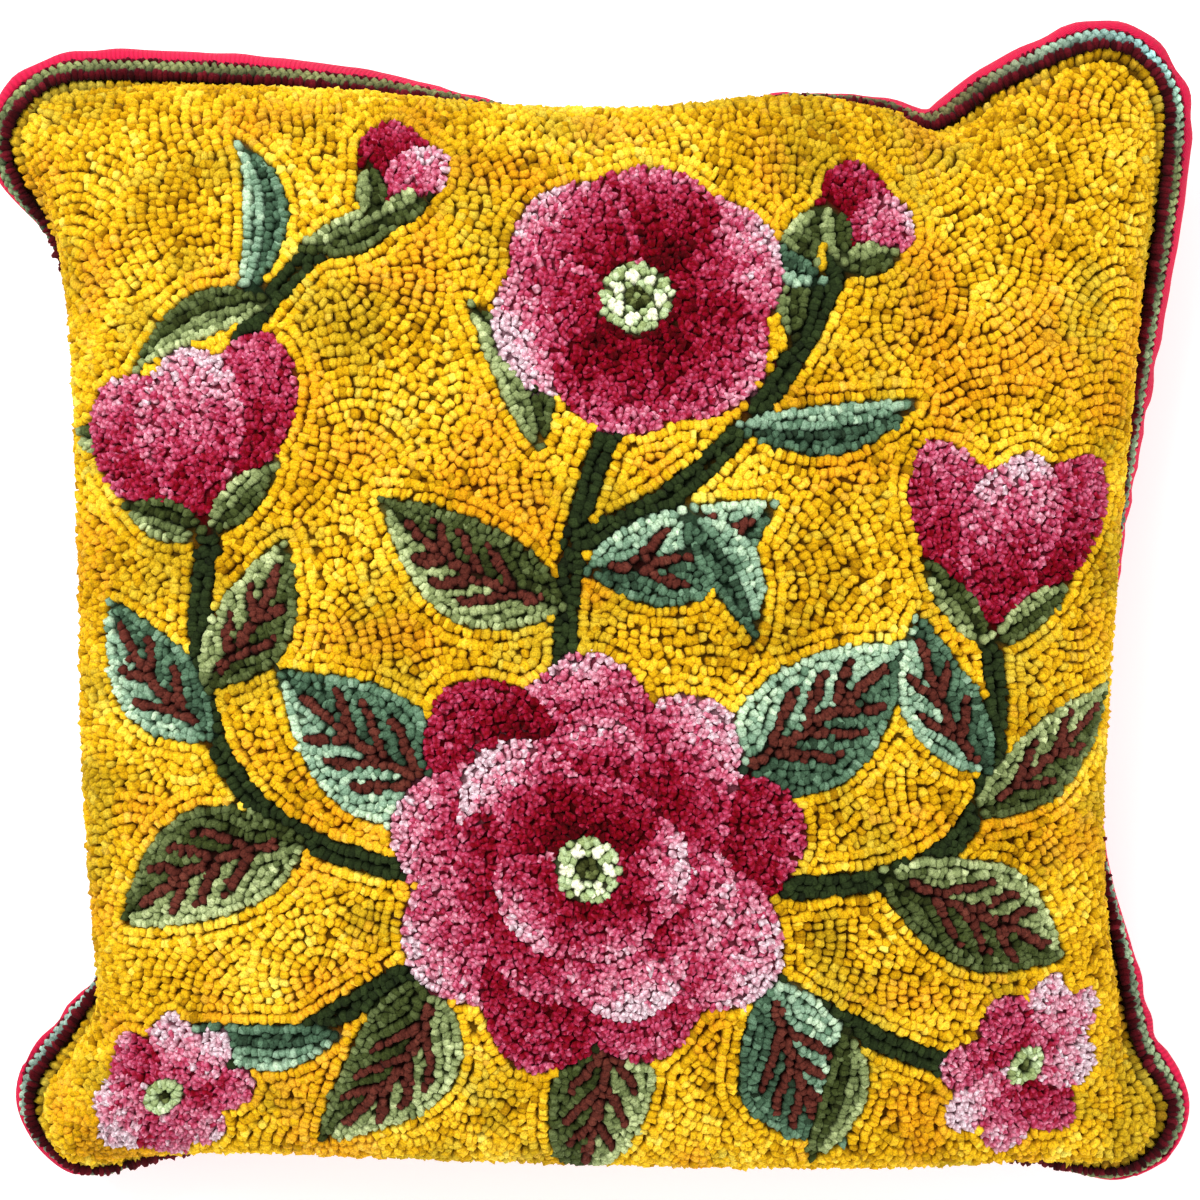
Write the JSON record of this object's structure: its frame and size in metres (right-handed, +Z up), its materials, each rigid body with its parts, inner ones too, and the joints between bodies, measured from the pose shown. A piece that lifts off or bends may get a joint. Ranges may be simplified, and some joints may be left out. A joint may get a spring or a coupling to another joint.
{
  "type": "hooked cushion",
  "caption": "Square cushion with a hooked wool loop front, a plain cloth back and looped and braided trims set in its seam.",
  "frame": {"origin": "centre of the bounding box's floor, where the back of the cushion rests", "axes": "+Z up, out of the hooked front; +X to the right and +Y to the top of the front, seen from above"},
  "size_m": [0.4702, 0.4536, 0.1383],
  "materials": {
    "hooked_wool": "hooked wool loops, matt",
    "pink_cloth": "plain woven cloth, matt",
    "maroon_wool": "wool yarn, matt",
    "green_wool": "braided wool yarn, matt"
  },
  "bodies": {
    "root": {"hooked_cushion": "hooked_wool", "back_cloth": "pink_cloth", "border_row": "maroon_wool", "green_braid": "green_wool", "seam_stitch": "maroon_wool"}
  },
  "joints": []
}
